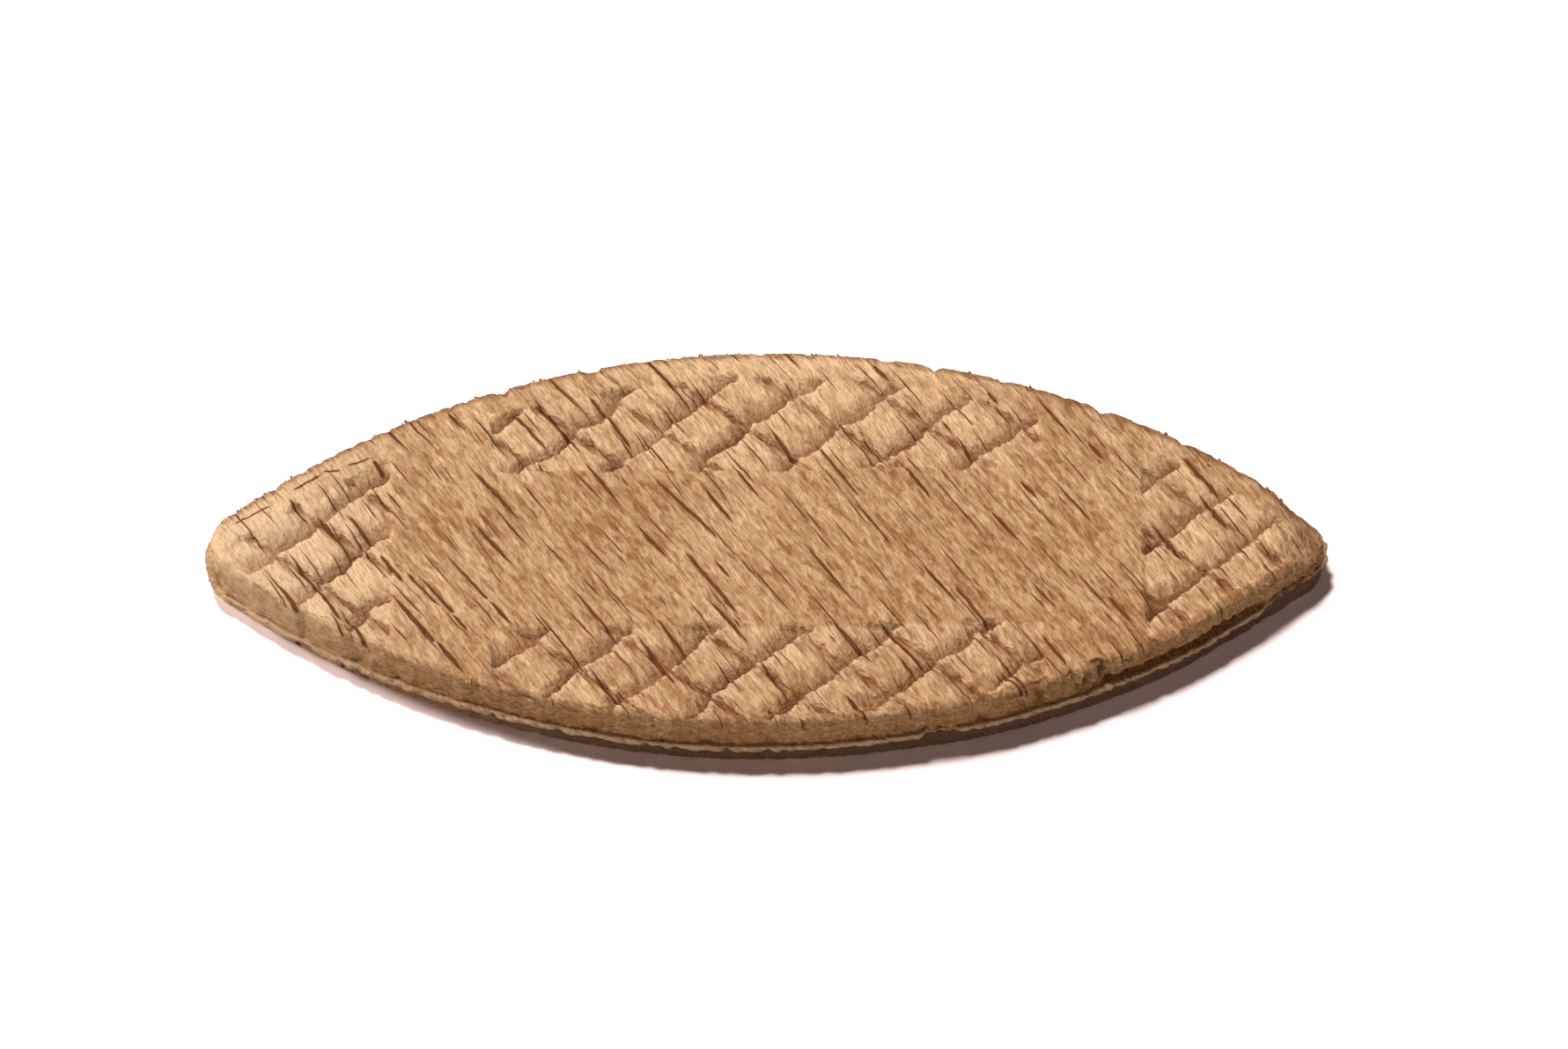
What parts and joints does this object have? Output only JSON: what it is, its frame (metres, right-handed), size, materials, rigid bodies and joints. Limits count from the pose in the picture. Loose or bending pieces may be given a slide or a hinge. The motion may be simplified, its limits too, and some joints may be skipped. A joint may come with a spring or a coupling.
{
  "type": "jointing biscuit",
  "caption": "Lens-shaped jointing biscuit of pressed beech with blunt tips, lozenge pads pressed into both faces and a thin flash round the edge.",
  "frame": {"origin": "middle of the biscuit, at half its length, width and thickness, where the two glued boards meet", "axes": "+X along the length, from tip to tip, +Y across the width, +Z through the thickness"},
  "size_m": [0.056, 0.023, 0.004],
  "materials": {
    "beech": "bare pressed beech, matt, with open pores and a torn edge"
  },
  "bodies": {
    "root": {"biscuit": "beech"}
  },
  "joints": []
}
